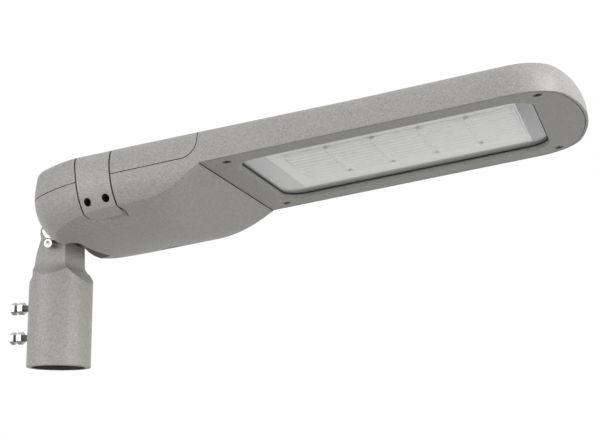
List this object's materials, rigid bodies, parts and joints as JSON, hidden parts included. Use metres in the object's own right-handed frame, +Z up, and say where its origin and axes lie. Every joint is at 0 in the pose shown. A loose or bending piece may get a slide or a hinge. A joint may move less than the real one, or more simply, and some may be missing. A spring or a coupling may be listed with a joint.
{
  "type": "led street light head",
  "caption": "Flat LED street light head with a glazed underside, a gear cover held by a clasp band, and a tilting spigot that slips over a pole top.",
  "frame": {"origin": "centre of the pole socket at the open mouth of the spigot", "axes": "+Z up the spigot, +X towards the tip of the lamp head, +Y to the side away from the tilt bolt's head; the head is tilted up 7.5 degrees from level as in the picture"},
  "size_m": [0.6854, 0.26, 0.2862],
  "materials": {
    "housing_coat": "fine silver-grey powder coat on die-cast aluminium",
    "cover_coat": "fine silver-grey powder coat on die-cast aluminium",
    "band_coat": "fine silver-grey powder coat on die-cast aluminium",
    "bezel_coat": "fine silver-grey powder coat on die-cast aluminium",
    "spigot_coat": "fine silver-grey powder coat on die-cast aluminium",
    "stainless": "bare stainless steel",
    "rubber": "matt silicone rubber",
    "window_glass": "clear tempered flat glass",
    "bare_aluminium": "bare pressed aluminium",
    "reflector_white": "white coated sheet",
    "board_white": "white solder mask",
    "lens_clear": "clear moulded lens plate",
    "zinc_sheet": "zinc-plated steel sheet",
    "driver_case": "satin extruded case",
    "dark_plastic": "matt moulded plastic",
    "terminal_plastic": "pale moulded plastic",
    "black_plastic": "black moulded plastic",
    "brass": "bare brass"
  },
  "bodies": {
    "spigot": {"pole_spigot": "spigot_coat", "clamp_screws": "stainless", "clamp_nuts": "stainless", "lock_screw": "stainless", "lock_nut": "stainless", "tilt_bolt": "stainless", "tilt_nut": "stainless", "tilt_washers": "stainless"},
    "head": {"main_housing": "housing_coat", "gear_cover": "cover_coat", "clasp_band": "band_coat", "bezel_frame": "bezel_coat", "cover_gasket": "rubber", "bezel_gasket": "rubber", "window_gasket": "rubber", "wire_grommet": "rubber", "window_glass": "window_glass", "glass_retainer": "bare_aluminium", "module_plate": "bare_aluminium", "reflector_sheet": "reflector_white", "gear_tray": "zinc_sheet", "led_driver": "driver_case", "surge_protector": "dark_plastic", "terminal_block": "terminal_plastic", "clamp_saddle": "dark_plastic", "cable_gland": "black_plastic", "gland_nut": "black_plastic", "breather_valve": "black_plastic", "earth_screw": "brass", "led_board_1": "board_white", "lens_plate_1": "lens_clear", "led_board_2": "board_white", "lens_plate_2": "lens_clear", "led_board_3": "board_white", "lens_plate_3": "lens_clear", "led_board_4": "board_white", "lens_plate_4": "lens_clear", "led_board_5": "board_white", "lens_plate_5": "lens_clear", "clasp_screws": "stainless", "bezel_screws": "stainless", "retainer_screws": "stainless", "plate_screws": "stainless", "module_screws": "stainless", "tray_screws": "stainless", "driver_screws": "stainless", "clamp_saddle_screws": "stainless"}
  },
  "joints": [
    {"name": "head_tilt", "type": "hinge", "parent": "spigot", "child": "head", "pos_m": [0, 0, 0.158], "axis": [0, 1, 0], "range_deg": [-7.5, 7.5]}
  ]
}
